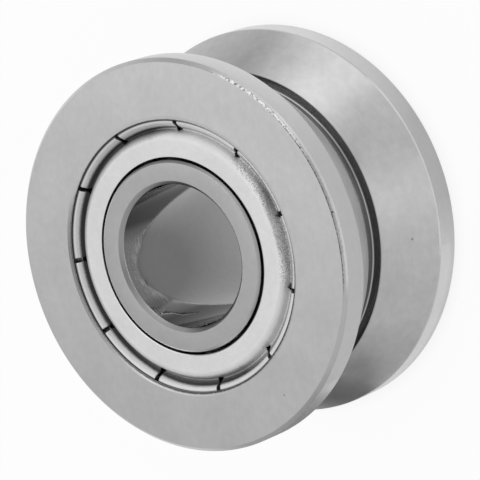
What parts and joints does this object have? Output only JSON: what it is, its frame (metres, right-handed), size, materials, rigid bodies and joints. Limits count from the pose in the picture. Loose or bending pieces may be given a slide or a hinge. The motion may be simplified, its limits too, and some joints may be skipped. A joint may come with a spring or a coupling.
{
  "type": "v groove wheel",
  "caption": "Steel guide wheel with a V groove round its rim for a V rail, turning on a shielded ball bearing built into it, on a bolt through its bore.",
  "frame": {"origin": "the wheel's centre, on its axis and halfway between its two end faces", "axes": "+Z along the wheel's axis, out of the front face; +X and +Y in the wheel's middle plane. The wheel lies on its flat rear end."},
  "size_m": [0.041, 0.041, 0.02],
  "materials": {
    "ring_steel": "ground, satin",
    "shield_steel": "pressed sheet, bright matt",
    "ball_steel": "polished",
    "cage_steel": "pressed sheet",
    "rivet_steel": "plain"
  },
  "bodies": {
    "inner": {"inner_ring": "ring_steel"},
    "wheel": {"outer_ring": "ring_steel", "front_shield": "shield_steel", "rear_shield": "shield_steel"},
    "front_cage": {"front_cage_outer_half": "cage_steel", "front_cage_inner_half": "cage_steel", "front_cage_rivets": "rivet_steel"},
    "front_ball_1": {"front_ball_1": "ball_steel"},
    "front_ball_2": {"front_ball_2": "ball_steel"},
    "front_ball_3": {"front_ball_3": "ball_steel"},
    "front_ball_4": {"front_ball_4": "ball_steel"},
    "front_ball_5": {"front_ball_5": "ball_steel"},
    "front_ball_6": {"front_ball_6": "ball_steel"},
    "front_ball_7": {"front_ball_7": "ball_steel"},
    "front_ball_8": {"front_ball_8": "ball_steel"},
    "rear_cage": {"rear_cage_outer_half": "cage_steel", "rear_cage_inner_half": "cage_steel", "rear_cage_rivets": "rivet_steel"},
    "rear_ball_1": {"rear_ball_1": "ball_steel"},
    "rear_ball_2": {"rear_ball_2": "ball_steel"},
    "rear_ball_3": {"rear_ball_3": "ball_steel"},
    "rear_ball_4": {"rear_ball_4": "ball_steel"},
    "rear_ball_5": {"rear_ball_5": "ball_steel"},
    "rear_ball_6": {"rear_ball_6": "ball_steel"},
    "rear_ball_7": {"rear_ball_7": "ball_steel"},
    "rear_ball_8": {"rear_ball_8": "ball_steel"}
  },
  "joints": [
    {"name": "wheel_spin", "type": "hinge", "parent": "inner", "child": "wheel", "pos_m": [0, 0, 0], "axis": [0, 0, 1], "continuous": true},
    {"name": "front_cage_spin", "type": "hinge", "parent": "inner", "child": "front_cage", "pos_m": [0, 0, 0], "axis": [0, 0, 1], "continuous": true},
    {"name": "front_ball_1_spin", "type": "hinge", "parent": "front_cage", "child": "front_ball_1", "pos_m": [0.012, 0, 0.0044], "axis": [0, 0, 1], "continuous": true},
    {"name": "front_ball_2_spin", "type": "hinge", "parent": "front_cage", "child": "front_ball_2", "pos_m": [0.00849, 0.00849, 0.0044], "axis": [0, 0, 1], "continuous": true},
    {"name": "front_ball_3_spin", "type": "hinge", "parent": "front_cage", "child": "front_ball_3", "pos_m": [0, 0.012, 0.0044], "axis": [0, 0, 1], "continuous": true},
    {"name": "front_ball_4_spin", "type": "hinge", "parent": "front_cage", "child": "front_ball_4", "pos_m": [-0.00849, 0.00849, 0.0044], "axis": [0, 0, 1], "continuous": true},
    {"name": "front_ball_5_spin", "type": "hinge", "parent": "front_cage", "child": "front_ball_5", "pos_m": [-0.012, 0, 0.0044], "axis": [0, 0, 1], "continuous": true},
    {"name": "front_ball_6_spin", "type": "hinge", "parent": "front_cage", "child": "front_ball_6", "pos_m": [-0.00849, -0.00849, 0.0044], "axis": [0, 0, 1], "continuous": true},
    {"name": "front_ball_7_spin", "type": "hinge", "parent": "front_cage", "child": "front_ball_7", "pos_m": [0, -0.012, 0.0044], "axis": [0, 0, 1], "continuous": true},
    {"name": "front_ball_8_spin", "type": "hinge", "parent": "front_cage", "child": "front_ball_8", "pos_m": [0.00849, -0.00849, 0.0044], "axis": [0, 0, 1], "continuous": true},
    {"name": "rear_cage_spin", "type": "hinge", "parent": "inner", "child": "rear_cage", "pos_m": [0, 0, 0], "axis": [0, 0, 1], "continuous": true},
    {"name": "rear_ball_1_spin", "type": "hinge", "parent": "rear_cage", "child": "rear_ball_1", "pos_m": [0.01109, 0.00459, -0.0044], "axis": [0, 0, 1], "continuous": true},
    {"name": "rear_ball_2_spin", "type": "hinge", "parent": "rear_cage", "child": "rear_ball_2", "pos_m": [0.00459, 0.01109, -0.0044], "axis": [0, 0, 1], "continuous": true},
    {"name": "rear_ball_3_spin", "type": "hinge", "parent": "rear_cage", "child": "rear_ball_3", "pos_m": [-0.00459, 0.01109, -0.0044], "axis": [0, 0, 1], "continuous": true},
    {"name": "rear_ball_4_spin", "type": "hinge", "parent": "rear_cage", "child": "rear_ball_4", "pos_m": [-0.01109, 0.00459, -0.0044], "axis": [0, 0, 1], "continuous": true},
    {"name": "rear_ball_5_spin", "type": "hinge", "parent": "rear_cage", "child": "rear_ball_5", "pos_m": [-0.01109, -0.00459, -0.0044], "axis": [0, 0, 1], "continuous": true},
    {"name": "rear_ball_6_spin", "type": "hinge", "parent": "rear_cage", "child": "rear_ball_6", "pos_m": [-0.00459, -0.01109, -0.0044], "axis": [0, 0, 1], "continuous": true},
    {"name": "rear_ball_7_spin", "type": "hinge", "parent": "rear_cage", "child": "rear_ball_7", "pos_m": [0.00459, -0.01109, -0.0044], "axis": [0, 0, 1], "continuous": true},
    {"name": "rear_ball_8_spin", "type": "hinge", "parent": "rear_cage", "child": "rear_ball_8", "pos_m": [0.01109, -0.00459, -0.0044], "axis": [0, 0, 1], "continuous": true}
  ],
  "couplings": [
    {"joint": "front_cage_spin", "follows": "wheel_spin", "ratio": 0.61575},
    {"joint": "front_ball_1_spin", "follows": "wheel_spin", "ratio": 2.0441},
    {"joint": "front_ball_2_spin", "follows": "wheel_spin", "ratio": 2.0441},
    {"joint": "front_ball_3_spin", "follows": "wheel_spin", "ratio": 2.0441},
    {"joint": "front_ball_4_spin", "follows": "wheel_spin", "ratio": 2.0441},
    {"joint": "front_ball_5_spin", "follows": "wheel_spin", "ratio": 2.0441},
    {"joint": "front_ball_6_spin", "follows": "wheel_spin", "ratio": 2.0441},
    {"joint": "front_ball_7_spin", "follows": "wheel_spin", "ratio": 2.0441},
    {"joint": "front_ball_8_spin", "follows": "wheel_spin", "ratio": 2.0441},
    {"joint": "rear_cage_spin", "follows": "wheel_spin", "ratio": 0.61575},
    {"joint": "rear_ball_1_spin", "follows": "wheel_spin", "ratio": 2.0441},
    {"joint": "rear_ball_2_spin", "follows": "wheel_spin", "ratio": 2.0441},
    {"joint": "rear_ball_3_spin", "follows": "wheel_spin", "ratio": 2.0441},
    {"joint": "rear_ball_4_spin", "follows": "wheel_spin", "ratio": 2.0441},
    {"joint": "rear_ball_5_spin", "follows": "wheel_spin", "ratio": 2.0441},
    {"joint": "rear_ball_6_spin", "follows": "wheel_spin", "ratio": 2.0441},
    {"joint": "rear_ball_7_spin", "follows": "wheel_spin", "ratio": 2.0441},
    {"joint": "rear_ball_8_spin", "follows": "wheel_spin", "ratio": 2.0441}
  ]
}
